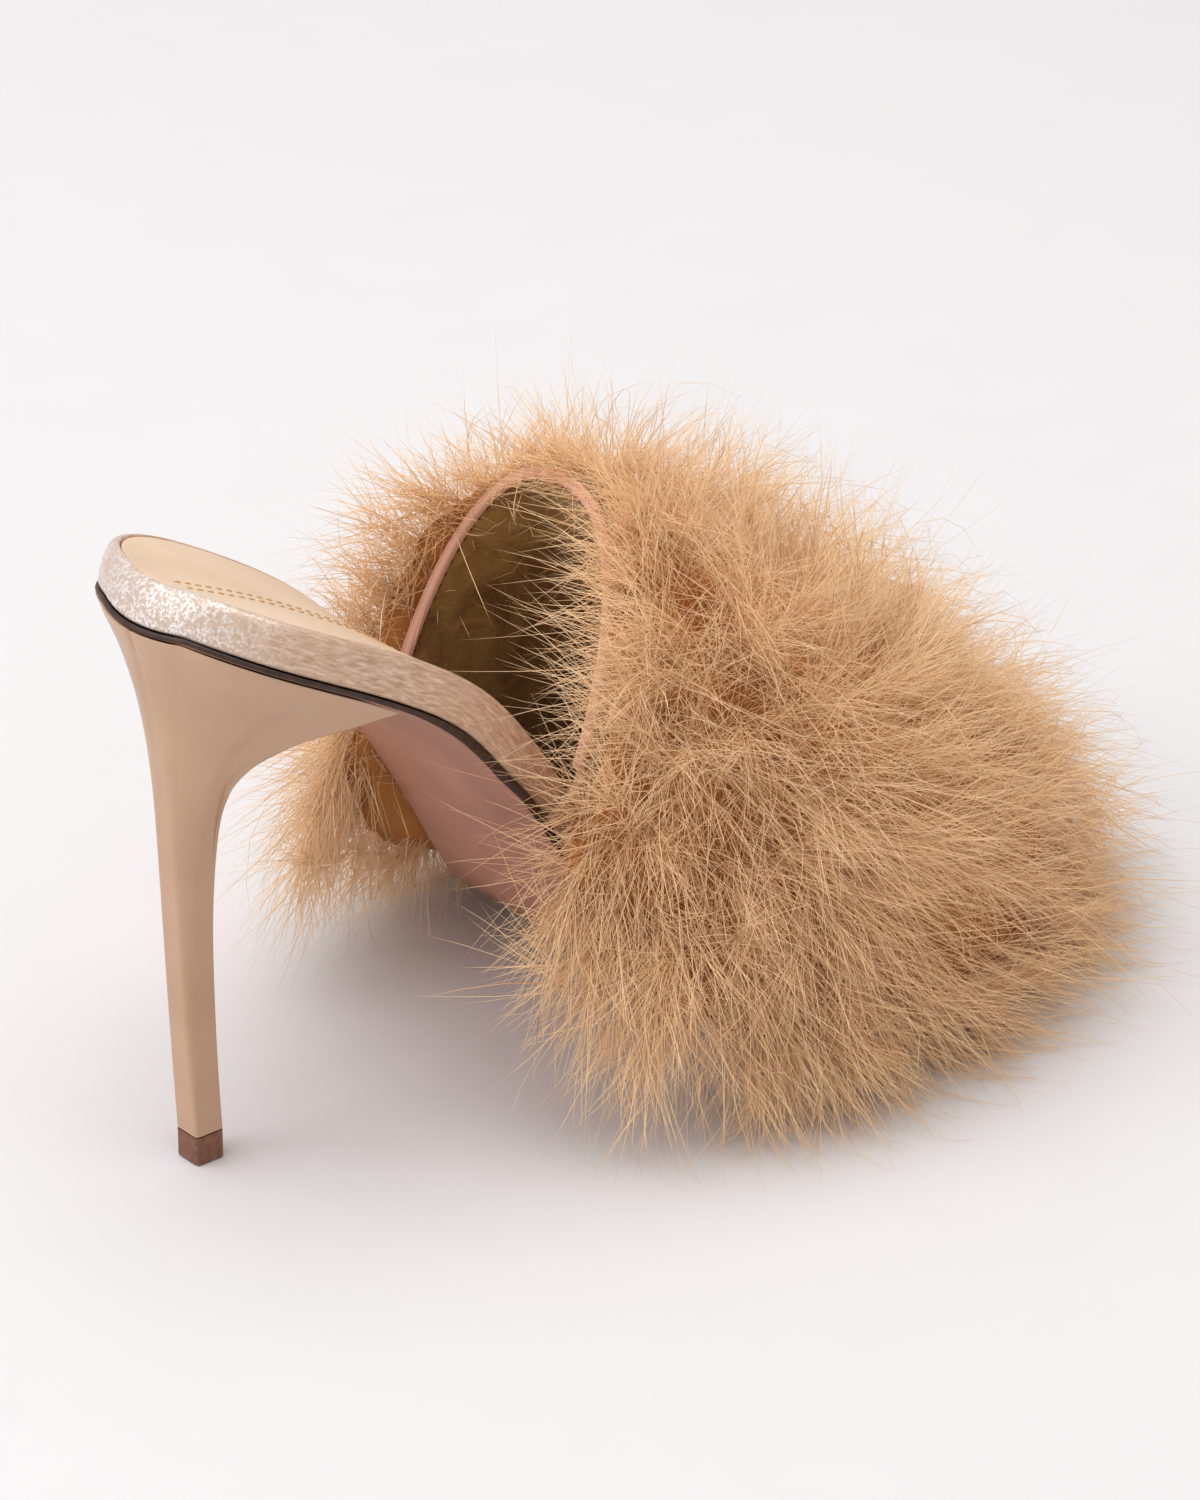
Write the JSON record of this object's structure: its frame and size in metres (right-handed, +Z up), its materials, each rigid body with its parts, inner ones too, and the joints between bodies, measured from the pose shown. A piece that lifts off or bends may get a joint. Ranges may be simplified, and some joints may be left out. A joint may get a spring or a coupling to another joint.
{
  "type": "marabou mule",
  "caption": "High-heeled slip-on mule for the right foot with a slim covered heel, covered footbed and a vamp under long marabou plumes",
  "frame": {"origin": "middle of the heel tip's face on the floor", "axes": "+X towards the toe, +Y towards the inner side of the right foot, +Z up"},
  "size_m": [0.2119, 0.1442, 0.1142],
  "materials": {
    "outsole": "blush leather sole with a dark painted edge",
    "rand": "crinkled leather with a fine metallic shimmer",
    "sock": "smooth pale lining leather",
    "heel": "smooth satin leather cover",
    "tip": "matt moulded rubber",
    "vamp": "olive gold suede lining",
    "binding": "thin folded blush leather",
    "marabou": "soft honey coloured plumes"
  },
  "bodies": {
    "root": {"outsole": "outsole", "insole_platform": "rand", "sock_lining": "sock", "heel": "heel", "heel_top_piece": "tip", "vamp": "vamp", "topline_binding": "binding", "marabou": "marabou"}
  },
  "joints": []
}
